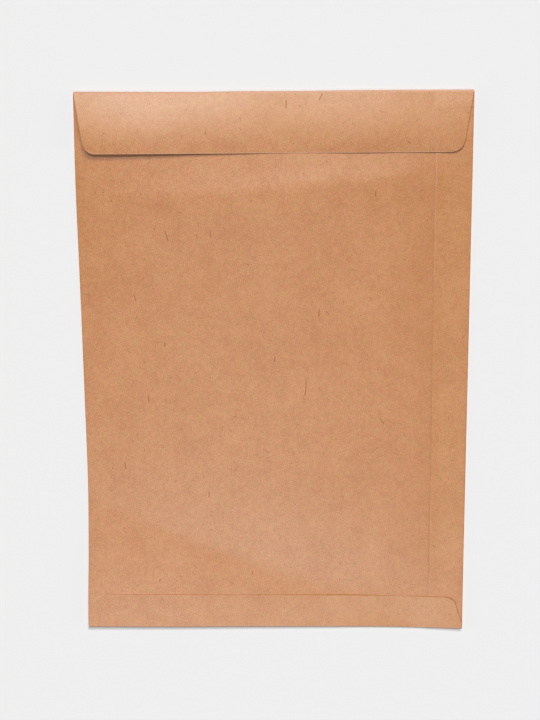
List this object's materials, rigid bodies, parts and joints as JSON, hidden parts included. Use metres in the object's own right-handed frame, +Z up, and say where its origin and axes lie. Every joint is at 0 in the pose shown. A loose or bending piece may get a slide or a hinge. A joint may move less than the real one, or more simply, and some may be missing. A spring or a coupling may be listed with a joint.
{
  "type": "paper envelope",
  "caption": "Large brown paper pocket envelope, lying seam side up, with a folded-down top flap, a glued side seam and a glued bottom flap.",
  "frame": {"origin": "on the table under the middle of the envelope, the bottom centre of its box", "axes": "+X across the envelope with the side seam on the right, +Y towards the top flap, +Z up from the table, out of the seam side"},
  "size_m": [0.229, 0.324, 0.0035],
  "materials": {
    "brown_paper": "matt, unbleached"
  },
  "bodies": {
    "root": {"envelope": "brown_paper"}
  },
  "joints": []
}
